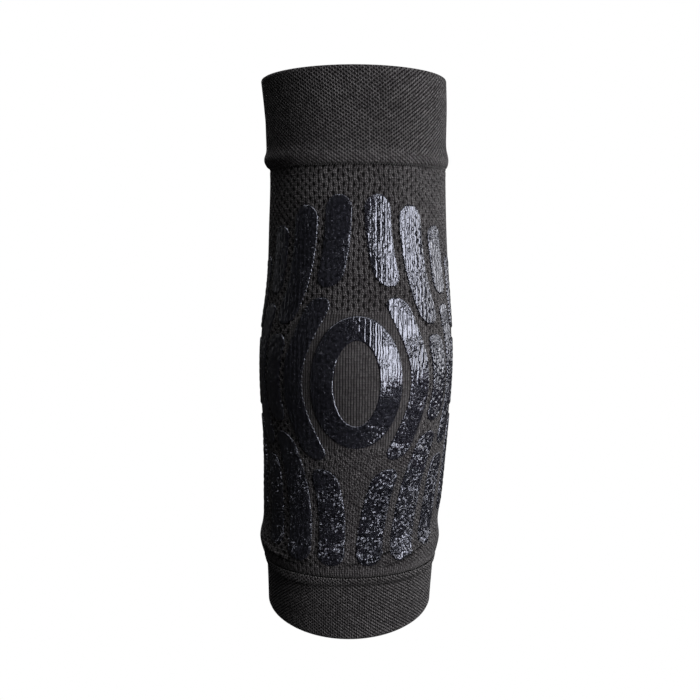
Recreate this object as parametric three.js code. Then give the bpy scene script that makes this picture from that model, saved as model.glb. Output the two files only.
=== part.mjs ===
// An elbow support sleeve: a knitted tube with a welt at each end and raised silicone grip on its front.
// Millimetres, +Z up the arm, the point of the elbow facing -Y, origin at the middle of the hollow there.
import * as THREE from 'three';

// Tessellation
const AROUND = 44;
const STRIP_STEPS_ACROSS = 2;
const STRIP_STEP_LENGTH = 5;
const ROLLED_STEP_LENGTH = 2.2;
const RING_STEPS = 36;

// The arm inside leans back a little above and below the elbow, over a rounded bend.
const UPPER_LEAN = Math.tan(THREE.MathUtils.degToRad(3.5));
const FOREARM_LEAN = Math.tan(THREE.MathUtils.degToRad(2.5));
const BEND_RADIUS = 25;

// The point of the elbow pushes the front out.
const ELBOW_POINT = { height: 3, middle: -4, tall: 26, wide: THREE.MathUtils.degToRad(24) };

// The sleeve's stretched form, a row for each section: how far its middle stands to the right, its half
// sizes at the outer face of the cloth, and how far the cloth is drawn up the arm on the front.
const SECTIONS = [
  { height: -118, right: -3.2, halfWidth: 37, halfDepth: 35.9, frontLift: -10.5 },
  { height: -110, right: -3.1, halfWidth: 37.3, halfDepth: 36.4, frontLift: -6 },
  { height: -94, right: -2.7, halfWidth: 38.1, halfDepth: 37, frontLift: 2 },
  { height: -80, right: -2.8, halfWidth: 39.4, halfDepth: 38.2, frontLift: 4 },
  { height: -60, right: -1.5, halfWidth: 40.4, halfDepth: 38.8, frontLift: 2 },
  { height: -32, right: -0.3, halfWidth: 41.2, halfDepth: 39.9, frontLift: 0 },
  { height: -15, right: -0.2, halfWidth: 42.2, halfDepth: 40.8, frontLift: 0 },
  { height: 0, right: 0, halfWidth: 42.6, halfDepth: 41.2, frontLift: 0 },
  { height: 15, right: 0.2, halfWidth: 42, halfDepth: 40.5, frontLift: 0 },
  { height: 35, right: 0.8, halfWidth: 40.1, halfDepth: 39.2, frontLift: 0 },
  { height: 60, right: 0.7, halfWidth: 38.9, halfDepth: 38.5, frontLift: 0 },
  { height: 85, right: 0.7, halfWidth: 38.3, halfDepth: 38, frontLift: 1.6 },
  { height: 110, right: -0.3, halfWidth: 39.6, halfDepth: 38.6, frontLift: 2 },
  { height: 125, right: -1.4, halfWidth: 40.2, halfDepth: 39.2, frontLift: 3.3 },
];

// Walls and seams. Stations are heights along the arm.
const BODY_WALL = 1.8;
const CUFF_WALL = 2.2;
const CLEARANCE = 0.3;
const UPPER_RIM = 122;
const UPPER_SEAM = 84.4;
const LOWER_SEAM = -89.5;
const LOWER_RIM = -110;
const RING_SPACING = 11;

// Profiles of the seams, a row for each ring of the cloth: how far it lies above the seam, and how far its
// outer and inner faces stand out from the sleeve's form. Two rows at one height make a step.
const HEM_ROLL = [
  { up: 0, outer: 0.6, inner: -0.4 },
  { up: 2.5, outer: 1.2, inner: -0.3 },
  { up: 5, outer: 1.6, inner: -0.2 },
  { up: 8, outer: 1.9, inner: -0.2 },
  { up: 11, outer: 1.5, inner: -0.2 },
  { up: 11, outer: 1.5, inner: -BODY_WALL },
  { up: 14, outer: 0.8, inner: -BODY_WALL },
  { up: 18, outer: 0, inner: -BODY_WALL },
];
const CUFF_RIDGE = [
  { up: 0, outer: 1.2, inner: CLEARANCE },
  { up: 1.6, outer: 1.5, inner: CLEARANCE },
  { up: 4, outer: 1.5, inner: CLEARANCE },
  { up: 5.2, outer: 1.1, inner: CLEARANCE },
  { up: 5.2, outer: 1.1, inner: -CUFF_WALL },
  { up: 7.8, outer: 0, inner: -CUFF_WALL },
];
const CUFF_FOLD = [
  { up: -8, outer: 0, inner: -CUFF_WALL },
  { up: -5, outer: 0, inner: -CUFF_WALL },
  { up: -4.2, outer: 0.5, inner: -CUFF_WALL },
  { up: -1.4, outer: 0.5, inner: -CUFF_WALL },
  { up: -0.5, outer: -0.6, inner: -CUFF_WALL },
  { up: 11 - CLEARANCE, outer: -0.6, inner: -CUFF_WALL - 0.4 },
];
const RIM_ROUNDING = 0.7;

// Silicone grip: strips run down the front, a row for each strip out from the middle, and part round the
// elbow. Distances across are measured round the cloth from the front's middle line.
const GRIP_THICKNESS = 0.8;
const CLOTH_RADIUS = 40;
const STRIPS = [
  { far: 8, elbow: 27.5, width: 12, top: 73, upperGap: 34, lowerGap: -36, bottom: -84.5 },
  { far: 23, elbow: 40, width: 12, top: 69, upperGap: 18, lowerGap: -22, bottom: -83.5 },
  { far: 37.5, elbow: 51.2, width: 10, top: 61, upperGap: 30, lowerGap: -34, bottom: -79 },
  { far: 51, elbow: 60.5, width: 8, top: 48, upperGap: 14, lowerGap: -20, bottom: -66 },
];
const STRIP_MIDDLE = -2;
const STRIP_PARTING = 34;
const STRIP_ELBOW_WIDTH = 0.84;
const STRIP_GAP = 4;
const STRIP_END = 6;
const STRIP_END_WIDTH = 0.45;
const RING = { halfWidth: 19, halfHeight: 26.5, stroke: 10, middle: -1.5 };

const KNIT = { color: 0x3a393b, roughness: 0.95, metalness: 0 };
const SILICONE = { color: 0x14151c, roughness: 0.28, metalness: 0 };

// A smooth curve through one column of the section table.
function sectionValue(column, height) {
  const last = SECTIONS.length - 1;
  let row = 0;
  while (row < last - 1 && height > SECTIONS[row + 1].height) row += 1;
  const slope = (middle) => {
    const below = SECTIONS[Math.max(middle - 1, 0)];
    const above = SECTIONS[Math.min(middle + 1, last)];
    return (above[column] - below[column]) / (above.height - below.height);
  };
  const [start, end] = [SECTIONS[row], SECTIONS[row + 1]];
  const span = end.height - start.height;
  const t = THREE.MathUtils.clamp((height - start.height) / span, 0, 1);
  const [t2, t3] = [t * t, t * t * t];
  return (2 * t3 - 3 * t2 + 1) * start[column] + (t3 - 2 * t2 + t) * span * slope(row)
    + (3 * t2 - 2 * t3) * end[column] + (t3 - t2) * span * slope(row + 1);
}

// A point of the sleeve: its height along the arm, its angle round from the front, and its distance out
// from the cloth's outer face.
function onSleeve(station, angle, out) {
  const front = ((1 + Math.cos(angle)) / 2) ** 2;
  const height = station + front * sectionValue('frontLift', station);
  const lean = height > 0 ? UPPER_LEAN : FOREARM_LEAN;
  const back = lean * (Math.hypot(height, BEND_RADIUS) - BEND_RADIUS);
  const leanHere = lean * height / Math.hypot(height, BEND_RADIUS);
  const tilt = Math.atan(leanHere);
  const across = (sectionValue('halfWidth', station) + out) * Math.sin(angle);
  const point = ELBOW_POINT.height
    * Math.exp(-(((station - ELBOW_POINT.middle) / ELBOW_POINT.tall) ** 2))
    * Math.exp(-((angle / ELBOW_POINT.wide) ** 2));
  const forward = (sectionValue('halfDepth', station) + out) * Math.cos(angle) + point;
  return new THREE.Vector3(
    sectionValue('right', station) + across,
    back - forward * Math.cos(tilt),
    height + forward * Math.sin(tilt),
  );
}

function moveVertices(geometry, place) {
  const position = geometry.attributes.position;
  for (let index = 0; index < position.count; index += 1) {
    const moved = place(new THREE.Vector3().fromBufferAttribute(position, index));
    position.setXYZ(index, moved.x, moved.y, moved.z);
  }
  geometry.computeVertexNormals();
  return geometry;
}

// A knitted tube through rings of cloth, given from the bottom up.
function knitTube(rings) {
  const outerFace = rings.map(({ station, outer }) => new THREE.Vector2(CLOTH_RADIUS + outer, station));
  const innerFace = rings.map(({ station, inner }) => new THREE.Vector2(CLOTH_RADIUS + inner, station));
  const loop = [...outerFace, ...innerFace.toReversed(), outerFace[0]];
  const profile = loop.filter((point, index) => index === 0 || !point.equals(loop[index - 1]));
  const tube = new THREE.LatheGeometry(profile, AROUND);
  return moveVertices(tube, ({ x, y, z }) => onSleeve(y, Math.atan2(x, z), Math.hypot(x, z) - CLOTH_RADIUS));
}

function seamRings(seam, profile) {
  return profile.map(({ up, outer, inner }) => ({ station: seam + up, outer, inner }));
}

// Plain rings of one wall, evenly spaced above one station up to another.
function plainRings(from, to, wall) {
  const steps = Math.round((to - from) / RING_SPACING);
  return Array.from({ length: steps }, (_, step) => (
    { station: from + (to - from) * (step + 1) / steps, outer: 0, inner: -wall }
  ));
}

// The turned edge of a cuff, which is a little thinner than its wall.
function rimRing(station) {
  return { station, outer: -RIM_ROUNDING, inner: RIM_ROUNDING - CUFF_WALL };
}

// The main tube. Its lower end rolls out over the lower cuff, and its top goes inside the upper cuff's ridge.
function sleeveBody() {
  const rollTop = LOWER_SEAM + HEM_ROLL.at(-1).up;
  const top = UPPER_SEAM + CUFF_RIDGE.at(-2).up - CLEARANCE;
  return knitTube([...seamRings(LOWER_SEAM, HEM_ROLL), ...plainRings(rollTop, top, BODY_WALL)]);
}

function upperCuff() {
  const ridgeTop = UPPER_SEAM + CUFF_RIDGE.at(-1).up;
  return knitTube([
    ...seamRings(UPPER_SEAM, CUFF_RIDGE),
    ...plainRings(ridgeTop, UPPER_RIM - RIM_ROUNDING, CUFF_WALL),
    rimRing(UPPER_RIM),
  ]);
}

// The lower cuff runs up from its rim, folds once below the seam and ends inside the body's rolled end.
function lowerCuff() {
  const rimTop = { station: LOWER_RIM + RIM_ROUNDING, outer: 0, inner: -CUFF_WALL };
  return knitTube([rimRing(LOWER_RIM), rimTop, ...seamRings(LOWER_SEAM, CUFF_FOLD)]);
}

// How far the body's rolled end stands out from the sleeve's form.
function rollOut(station) {
  const up = station - LOWER_SEAM;
  const next = HEM_ROLL.findIndex((row) => row.up > up);
  if (next < 1) return 0;
  const [below, above] = [HEM_ROLL[next - 1], HEM_ROLL[next]];
  return THREE.MathUtils.mapLinear(up, below.up, above.up, below.outer, above.outer);
}

// One length of a strip: a flat bar wrapped on the cloth along the strip's line, narrower at the elbow and
// rounded off at both ends. It takes shorter steps where it runs over the rolled end.
function flowStrip(strip, side, bottom, top) {
  const length = top - bottom;
  const steps = Math.round(length / (rollOut(bottom) > 0 ? ROLLED_STEP_LENGTH : STRIP_STEP_LENGTH));
  const bar = new THREE.BoxGeometry(1, 1, 1, STRIP_STEPS_ACROSS, steps, 1);
  return moveVertices(bar, ({ x, y, z }) => {
    const station = bottom + (y + 0.5) * length;
    const parting = Math.exp(-(((station - STRIP_MIDDLE) / STRIP_PARTING) ** 2));
    const fromEnd = Math.min(station - bottom, top - station);
    const rounding = Math.sqrt(1 - (1 - Math.min(fromEnd / STRIP_END, 1)) ** 2);
    const narrowing = THREE.MathUtils.lerp(1, STRIP_ELBOW_WIDTH, parting);
    const width = strip.width * narrowing * THREE.MathUtils.lerp(STRIP_END_WIDTH, 1, rounding);
    const across = side * THREE.MathUtils.lerp(strip.far, strip.elbow, parting) + x * width;
    const out = rollOut(station) + CLEARANCE + (z + 0.5) * GRIP_THICKNESS;
    return onSleeve(station, across / CLOTH_RADIUS, out);
  });
}

// The ring at the point of the elbow: a flat washer turned about its own axis, drawn out to an oval and
// wrapped on the cloth.
function elbowRing() {
  const inner = 1;
  const outer = 2;
  const middle = (inner + outer) / 2;
  const profile = [[inner, 0], [middle, 0], [outer, 0], [outer, 1], [middle, 1], [inner, 1], [inner, 0]];
  const washer = new THREE.LatheGeometry(profile.map(([x, y]) => new THREE.Vector2(x, y)), RING_STEPS);
  return moveVertices(washer, ({ x, y, z }) => {
    const radius = Math.hypot(x, z);
    const inset = (outer - radius) * RING.stroke;
    const across = (RING.halfWidth - inset) * x / radius;
    const station = RING.middle - (RING.halfHeight - inset) * z / radius;
    return onSleeve(station, across / CLOTH_RADIUS, CLEARANCE + y * GRIP_THICKNESS);
  });
}

function piece(name, geometry, finish) {
  const mesh = new THREE.Mesh(geometry, new THREE.MeshStandardMaterial(finish));
  mesh.name = name;
  return mesh;
}

// The strips' lengths, left and right alike.
function flowStrips() {
  const strips = new THREE.Group();
  for (const [sideName, side] of [['left', -1], ['right', 1]]) {
    STRIPS.forEach((strip, index) => {
      const lengths = [
        ['upper', strip.upperGap + STRIP_GAP / 2, strip.top],
        ['middle', strip.lowerGap + STRIP_GAP / 2, strip.upperGap - STRIP_GAP / 2],
        ['lower', strip.bottom, strip.lowerGap - STRIP_GAP / 2],
      ];
      for (const [lengthName, bottom, top] of lengths) {
        const name = `${sideName}_strip_${index + 1}_${lengthName}`;
        strips.add(piece(name, flowStrip(strip, side, bottom, top), SILICONE));
      }
    });
  }
  return strips;
}

const sleeve = new THREE.Group();
sleeve.add(piece('sleeve_body', sleeveBody(), KNIT));
sleeve.add(piece('upper_cuff', upperCuff(), KNIT));
sleeve.add(piece('lower_cuff', lowerCuff(), KNIT));
sleeve.add(piece('elbow_ring', elbowRing(), SILICONE));
sleeve.add(flowStrips());

export default sleeve;
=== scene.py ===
# %% [markdown]
# This lesson dresses an elbow support sleeve. The real one is knitted as a tube from charcoal yarn, with a
# firmer cuff linked to each end, and silicone grip is printed on the side that covers the point of the elbow.
# Its solids are loaded first and stay fixed. Everything after that is built round them, in metres.

# %% Load the frame and keep its box
import math

import bpy
import numpy as np
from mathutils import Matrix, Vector


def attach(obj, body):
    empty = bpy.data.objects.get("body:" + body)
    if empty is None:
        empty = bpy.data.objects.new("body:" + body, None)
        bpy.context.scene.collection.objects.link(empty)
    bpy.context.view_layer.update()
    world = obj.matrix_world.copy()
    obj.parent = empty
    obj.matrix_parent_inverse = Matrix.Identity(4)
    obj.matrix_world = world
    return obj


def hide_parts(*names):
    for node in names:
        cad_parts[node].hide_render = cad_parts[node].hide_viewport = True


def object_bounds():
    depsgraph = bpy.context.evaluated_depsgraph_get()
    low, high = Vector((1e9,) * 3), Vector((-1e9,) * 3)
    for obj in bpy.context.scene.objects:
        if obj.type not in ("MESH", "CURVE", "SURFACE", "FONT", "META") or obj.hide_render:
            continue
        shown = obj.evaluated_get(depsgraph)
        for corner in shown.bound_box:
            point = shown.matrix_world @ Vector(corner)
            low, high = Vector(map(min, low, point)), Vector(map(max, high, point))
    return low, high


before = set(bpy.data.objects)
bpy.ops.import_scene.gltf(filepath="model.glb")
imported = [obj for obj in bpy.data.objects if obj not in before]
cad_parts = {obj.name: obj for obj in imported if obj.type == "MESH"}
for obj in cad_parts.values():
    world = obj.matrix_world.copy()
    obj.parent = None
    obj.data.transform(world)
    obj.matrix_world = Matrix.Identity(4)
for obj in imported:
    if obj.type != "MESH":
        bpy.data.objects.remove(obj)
cad_box = [list(corner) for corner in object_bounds()]
MM = 0.001
print("nodes:", len(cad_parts))

# %% [markdown]
# The photograph looks at the elbow side from a little above, from about half a metre away. A camera that
# close gives the cuffs their round edges, so its distance matters as much as its lens.

# %% Camera
CAMERA_DISTANCE = 520 * MM
CAMERA_ELEVATION = math.radians(10)
CAMERA_TARGET = Vector((-2.65 * MM, 0, 5.4 * MM))
CAMERA_LENS = 60
CAMERA_SENSOR = 36
CAMERA_NEAR = 10 * MM

camera = bpy.data.objects.new("camera", bpy.data.cameras.new("camera"))
bpy.context.scene.collection.objects.link(camera)
camera_back = Vector((0, -math.cos(CAMERA_ELEVATION), math.sin(CAMERA_ELEVATION)))
camera.location = CAMERA_TARGET + CAMERA_DISTANCE * camera_back
camera.rotation_euler = (-camera_back).to_track_quat("-Z", "Y").to_euler()
camera.data.lens = CAMERA_LENS
camera.data.sensor_width = CAMERA_SENSOR
camera.data.clip_start = CAMERA_NEAR
bpy.context.scene.camera = camera
print("camera at", [round(x, 3) for x in camera.location])

# %% [markdown]
# A material and a geometry tree are both nodes and links, so one small function that adds a node, sets it up
# and links its inputs serves them all. A node that is given as an input stands for its first output. Colours
# are written as the sRGB values that a colour picker shows.

# %% Nodes and colours
def join(tree, node, inputs):
    """Links nodes and sockets to a node's inputs, and writes plain values on them."""
    for key, value in inputs.items():
        if isinstance(value, bpy.types.Node):
            value = value.outputs[0]
        if isinstance(value, bpy.types.NodeSocket):
            tree.links.new(value, node.inputs[key])
        else:
            node.inputs[key].default_value = value


def add(tree, kind, inputs=None, **settings):
    node = tree.nodes.new(kind)
    for name, value in settings.items():
        setattr(node, name, value)
    join(tree, node, inputs or {})
    return node


def linear(hex_colour):
    channels = [int(hex_colour[i:i + 2], 16) / 255 for i in (1, 3, 5)]
    return [c / 12.92 if c <= 0.04045 else ((c + 0.055) / 1.055) ** 2.4 for c in channels] + [1.0]


def material_tree(name):
    material = bpy.data.materials.new(name)
    material.use_nodes = True
    tree = material.node_tree
    return material, tree, tree.nodes["Principled BSDF"]


print("middle grey in linear light:", round(linear("#808080")[0], 3))

# %% [markdown]
# Geometry Nodes make what repeats: the loops of the knit and the stitches of the seams. Each tree is built
# here in code with a named input for every size, run once on its piece, and kept as a plain mesh. A live
# modifier would look the same, but the finished mesh is what leaves this file.

# %% Geometry trees
def geometry_tree(name, sizes):
    """An empty geometry tree with a named input for each size, and one for the material."""
    tree = bpy.data.node_groups.new(name, "GeometryNodeTree")
    tree.interface.new_socket("Geometry", in_out="INPUT", socket_type="NodeSocketGeometry")
    tree.interface.new_socket("Geometry", in_out="OUTPUT", socket_type="NodeSocketGeometry")
    for label, size in sizes.items():
        socket = tree.interface.new_socket(label, in_out="INPUT", socket_type="NodeSocketFloat")
        socket.default_value = size
    tree.interface.new_socket("Material", in_out="INPUT", socket_type="NodeSocketMaterial")
    return tree, add(tree, "NodeGroupInput").outputs


def end_tree(tree, geometry, material):
    realized = add(tree, "GeometryNodeRealizeInstances", {"Geometry": geometry})
    finished = add(tree, "GeometryNodeSetMaterial", {"Geometry": realized, "Material": material})
    add(tree, "NodeGroupOutput", {"Geometry": finished})


def run_tree(piece, tree, **inputs):
    """Runs a geometry tree on a piece, keeps the result as its plain mesh and removes the modifier."""
    modifier = piece.modifiers.new(tree.name, "NODES")
    modifier.node_group = tree
    for socket in tree.interface.items_tree:
        if socket.in_out == "INPUT" and socket.name in inputs:
            modifier[socket.identifier] = inputs[socket.name]
    graph = bpy.context.evaluated_depsgraph_get()
    mesh = bpy.data.meshes.new_from_object(piece.evaluated_get(graph))
    piece.modifiers.clear()
    before = piece.data
    piece.data = mesh
    bpy.data.meshes.remove(before)
    mesh.name = piece.name
    print(piece.name, "triangles:", sum(len(face.vertices) - 2 for face in mesh.polygons))
    return piece


# %% [markdown]
# The sleeve has the form it takes when worn, a tube whose section changes slowly and which bends a little at
# the elbow. A row of the table gives one section in millimetres: its height, how far its middle stands to the
# right, its half sizes, and how far the cloth is drawn up on the front. These are the same rows that made the
# solids, so the cloth built here lands on them.

# %% The sleeve's form
SECTION_COLUMNS = ("height", "right", "half_width", "half_depth", "front_lift")
SECTIONS = np.array([
    (-118, -3.2, 37, 35.9, -10.5),
    (-110, -3.1, 37.3, 36.4, -6),
    (-94, -2.7, 38.1, 37, 2),
    (-80, -2.8, 39.4, 38.2, 4),
    (-60, -1.5, 40.4, 38.8, 2),
    (-32, -0.3, 41.2, 39.9, 0),
    (-15, -0.2, 42.2, 40.8, 0),
    (0, 0, 42.6, 41.2, 0),
    (15, 0.2, 42, 40.5, 0),
    (35, 0.8, 40.1, 39.2, 0),
    (60, 0.7, 38.9, 38.5, 0),
    (85, 0.7, 38.3, 38, 1.6),
    (110, -0.3, 39.6, 38.6, 2),
    (125, -1.4, 40.2, 39.2, 3.3),
])
UPPER_LEAN = math.tan(math.radians(3.5))
LOWER_LEAN = math.tan(math.radians(2.5))
BEND_RADIUS = 25
ELBOW_POINT = {"height": 3, "middle": -4, "tall": 26, "wide": math.radians(24)}
CLOTH_RADIUS = 40
GIRTH = 2 * math.pi * CLOTH_RADIUS


def smooth_curve(places, values, at):
    """A smooth curve through a short list of values, read at any number of places."""
    slopes = np.gradient(values, places, edge_order=1)
    slopes[1:-1] = (values[2:] - values[:-2]) / (places[2:] - places[:-2])
    row = np.clip(np.searchsorted(places, at) - 1, 0, len(places) - 2)
    span = places[row + 1] - places[row]
    t = np.clip((at - places[row]) / span, 0, 1)
    return ((2 * t**3 - 3 * t**2 + 1) * values[row] + (t**3 - 2 * t**2 + t) * span * slopes[row]
            + (3 * t**2 - 2 * t**3) * values[row + 1] + (t**3 - t**2) * span * slopes[row + 1])


def section(column, station):
    return smooth_curve(SECTIONS[:, 0], SECTIONS[:, SECTION_COLUMNS.index(column)], station)


def drawn_height(station, angle):
    """The height of a ring of cloth, which is drawn up or down on the front."""
    return station + ((1 + np.cos(angle)) / 2) ** 2 * section("front_lift", station)


def on_sleeve(station, angle, out):
    """Points in metres, from the station along the sleeve, the angle from the front and the distance out."""
    station, angle, out = np.broadcast_arrays(*(np.asarray(x, float) for x in (station, angle, out)))
    height = drawn_height(station, angle)
    lean = np.where(height > 0, UPPER_LEAN, LOWER_LEAN)
    reach = np.hypot(height, BEND_RADIUS)
    tilt = np.arctan(lean * height / reach)
    point = (ELBOW_POINT["height"] * np.exp(-(((station - ELBOW_POINT["middle"]) / ELBOW_POINT["tall"]) ** 2))
             * np.exp(-((angle / ELBOW_POINT["wide"]) ** 2)))
    forward = (section("half_depth", station) + out) * np.cos(angle) + point
    across = section("right", station) + (section("half_width", station) + out) * np.sin(angle)
    back = lean * (reach - BEND_RADIUS) - forward * np.cos(tilt)
    return np.stack([across, back, height + forward * np.sin(tilt)], axis=-1) * MM


print("point of the elbow at", on_sleeve(0, 0, 0).round(4))

# %% [markdown]
# Every cloth and silicone piece is a grid of points: rows that run one way and columns that close into a
# ring. The grid carries what the knit needs to know at each point, as fields. The wale is the distance round
# the sleeve and the course the distance along it, in millimetres, and a UV map carries the same two for the
# materials. The cover says how much of the knit's relief shows, ribbed where the knit is plain ribs, lean
# which way its loops slant, tight how far its gaps close into finer ones and, on the body's left, how far
# they open as painted shade, and dark how much painted shade goes where a seam or a crease lies in shade.

# %% Grids
def grid_faces(rows, columns, ring_rows):
    """Quads between neighbouring rows and columns. The last column meets the first, and so may the rows."""
    row_pairs = rows if ring_rows else rows - 1
    here = np.arange(columns)
    right = (here + 1) % columns
    first = np.arange(row_pairs)[:, None] * columns
    above = ((np.arange(row_pairs) + 1) % rows)[:, None] * columns
    return np.stack([first + here, first + right, above + right, above + here], axis=-1).reshape(-1, 4)


def grid_piece(name, points, fields, ring_rows):
    """A closed mesh from a grid of points. Its columns close, and its rows close too or end in flat caps."""
    rows, columns = points.shape[:2]
    quads = grid_faces(rows, columns, ring_rows)
    faces = quads.tolist()
    if not ring_rows:
        faces += [list(range(columns))[::-1], list(range((rows - 1) * columns, rows * columns))]
    mesh = bpy.data.meshes.new(name)
    mesh.from_pydata(points.reshape(-1, 3), [], faces)
    flat = {}
    for label, values in fields.items():
        flat[label] = np.broadcast_to(values, (rows, columns)).astype(np.float32).ravel()
        mesh.attributes.new(label, "FLOAT", "POINT").data.foreach_set("value", flat[label])
    corner = np.zeros(len(mesh.loops), np.int32)
    mesh.loops.foreach_get("vertex_index", corner)
    wale_uv = flat["wale"][corner]
    in_quads = wale_uv[:quads.size].reshape(-1, 4)
    in_quads[np.ptp(in_quads, axis=1) > GIRTH / 2] %= GIRTH
    uv = mesh.uv_layers.new(name="knit_mm")
    uv.data.foreach_set("uv", np.stack([wale_uv, flat["course"][corner]], axis=-1).ravel())
    mesh.shade_smooth()
    piece = bpy.data.objects.new(name, mesh)
    bpy.context.scene.collection.objects.link(piece)
    return piece


# %% [markdown]
# Knit is loops of yarn, and from a step away the eye reads two things: ribs, where the legs of the loops
# stand side by side, and small gaps between the loops, staggered from course to course. A cosine of the wale
# times a cosine of the course peaks at every gap. Taking off the sines, in the share of the lean, draws the
# gaps out into slanting lines. The same nodes work in a geometry tree and in a material, so the dark gaps of
# the colour lie in the real ones.

# %% The pattern of the gaps
def turns(tree, distance, pitch, wave):
    """The cosine or sine of a distance, with one turn to a pitch."""
    share = add(tree, "ShaderNodeMath", {0: distance, 1: pitch}, operation="DIVIDE")
    angle = add(tree, "ShaderNodeMath", {0: share, 1: 2 * math.pi}, operation="MULTIPLY")
    return add(tree, "ShaderNodeMath", {0: angle}, operation=wave)


def loop_gaps(tree, wale, course, lean, wale_pitch, course_pitch):
    """1 in the middle of a gap between loops, and -1 on the crown of a loop."""
    both = {}
    for wave in ("COSINE", "SINE"):
        round_tube = turns(tree, wale, wale_pitch, wave)
        along_tube = turns(tree, course, course_pitch, wave)
        both[wave] = add(tree, "ShaderNodeMath", {0: round_tube, 1: along_tube}, operation="MULTIPLY")
    slant = add(tree, "ShaderNodeMath", {0: both["SINE"], 1: lean}, operation="MULTIPLY")
    return add(tree, "ShaderNodeMath", {0: both["COSINE"], 1: slant}, operation="SUBTRACT")


# %% [markdown]
# Geometry Nodes move the grid's points: in at the gaps, sideways so that the legs swing round each gap, and
# out and in for the broad ribs that show through the silicone. Noise, which seldom leaves its middle range,
# makes some gaps deeper than others. A Displace modifier could do this from a picture of knit, but nodes read
# the true pitches and need no picture. The tree is made once, and its named inputs suit it to the body, the
# cuffs and the silicone.

# %% The knit's relief as a Geometry Nodes tree
RELIEF_INPUTS = {
    "Wale pitch": 4.4, "Course pitch": 3.4, "Gap depth": 0.6, "Loop swing": 0.25, "Unevenness": 0.5,
    "Rib pitch": 2.2, "Rib height": 0.0,
}
GAP_EDGE = {"From Min": 0.2, "From Max": 0.95}
NOISE_RANGE = {"From Min": 0.3, "From Max": 0.7}
UNEVEN_SPOT = 7
RIB_WANDER = 0.35


def knit_relief_tree():
    tree, given = geometry_tree("knit_relief", RELIEF_INPUTS)
    wale, course, cover, ribbed, lean, tight = (
        add(tree, "GeometryNodeInputNamedAttribute", {"Name": field}, data_type="FLOAT").outputs["Attribute"]
        for field in ("wale", "course", "cover", "ribbed", "lean", "tight")
    )
    gaps = loop_gaps(tree, wale, course, lean, given["Wale pitch"], given["Course pitch"])
    gap = add(tree, "ShaderNodeMapRange", {"Value": gaps, **GAP_EDGE}, interpolation_type="SMOOTHSTEP")
    plain = add(tree, "ShaderNodeMath", {0: 1.0, 1: ribbed}, operation="SUBTRACT")
    open_share = add(tree, "ShaderNodeMath", {0: 1.0, 1: tight}, operation="SUBTRACT")

    where = add(tree, "ShaderNodeCombineXYZ", {"X": wale, "Y": course})
    spots = add(tree, "ShaderNodeTexNoise", {"Vector": where, "Scale": 1 / UNEVEN_SPOT, "Detail": 3.0},
                noise_dimensions="2D")
    uneven = add(tree, "ShaderNodeMapRange", {"Value": spots, **NOISE_RANGE, "To Min": -1.0})
    fall = add(tree, "ShaderNodeMath", {0: uneven, 1: given["Unevenness"], 2: 1.0}, operation="MULTIPLY_ADD")
    for share in (given["Gap depth"], plain, open_share, gap):
        fall = add(tree, "ShaderNodeMath", {0: fall, 1: share}, operation="MULTIPLY")

    wandered = add(tree, "ShaderNodeMath", {0: uneven, 1: RIB_WANDER, 2: wale}, operation="MULTIPLY_ADD")
    rib = turns(tree, wandered, given["Rib pitch"], "COSINE")
    rise = add(tree, "ShaderNodeMath", {0: rib, 1: given["Rib height"]}, operation="MULTIPLY")
    relief = add(tree, "ShaderNodeMath", {0: rise, 1: fall}, operation="SUBTRACT")

    swing = turns(tree, wale, given["Wale pitch"], "SINE")
    for share in (turns(tree, course, given["Course pitch"], "COSINE"), given["Loop swing"], plain):
        swing = add(tree, "ShaderNodeMath", {0: swing, 1: share}, operation="MULTIPLY")

    normal = add(tree, "GeometryNodeInputNormal")
    around = add(tree, "ShaderNodeVectorMath", {0: (0, 0, 1), 1: normal}, operation="CROSS_PRODUCT")
    out_move = add(tree, "ShaderNodeVectorMath", {0: normal, "Scale": relief}, operation="SCALE")
    side_move = add(tree, "ShaderNodeVectorMath", {0: around, "Scale": swing}, operation="SCALE")
    move = add(tree, "ShaderNodeVectorMath", {0: out_move, 1: side_move}, operation="ADD")
    share = add(tree, "ShaderNodeMath", {0: cover, 1: MM}, operation="MULTIPLY")
    move = add(tree, "ShaderNodeVectorMath", {0: move, "Scale": share}, operation="SCALE")
    moved = add(tree, "GeometryNodeSetPosition", {"Geometry": given["Geometry"], "Offset": move})
    end_tree(tree, moved, given["Material"])
    return tree


KNIT_RELIEF = knit_relief_tree()
print("relief nodes:", len(KNIT_RELIEF.nodes))

# %% [markdown]
# The yarn is polyester and nylon covered elastane, knitted and not brushed, so it is a matt charcoal with a
# faint sheen, and the gaps between its loops are nearly black. A look holds the pitches of a knit in
# millimetres, the edges of its gaps and how much painted shade each part of it takes, from 0 to 1. Pitches go
# a whole number of times round the tube, so that the pattern closes.

# %% The two knits
def whole_pitch(pitch):
    return GIRTH / round(GIRTH / pitch)


BODY_WALE = whole_pitch(4.4)
BODY_COURSE = 3.4
CUFF_WALE = whole_pitch(2.25)
CUFF_COURSE = 1.52
BODY_LOOK = {
    "wale": BODY_WALE, "course": BODY_COURSE, "gap": {"From Min": -0.1, "From Max": 0.55},
    "slit": {"From Min": 0.0, "To Min": 0.12}, "loose": 1.3, "rib": BODY_WALE / 2, "rib_shade": 0.5,
    "leg": BODY_WALE / 4, "leg_shade": 0.65, "row": BODY_COURSE / 3.5, "row_shade": 0.5, "close": 0.4,
    "depth": 0.55, "tones": 1.1, "yarn": "#6c696b", "yarn_shade": "#454244",
}
CUFF_LOOK = {
    "wale": CUFF_WALE, "course": CUFF_COURSE, "gap": {"From Min": -0.3, "From Max": 0.35},
    "slit": {"From Min": -0.6, "To Min": 0.8}, "loose": 0.6, "rib": CUFF_WALE / 2, "rib_shade": 0.62,
    "leg": CUFF_WALE / 2, "leg_shade": 0.0, "row": CUFF_COURSE / 2, "row_shade": 0.2, "close": 0.0,
    "depth": 0.4, "tones": 1.0, "yarn": "#676466", "yarn_shade": "#413e40",
}
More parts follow.
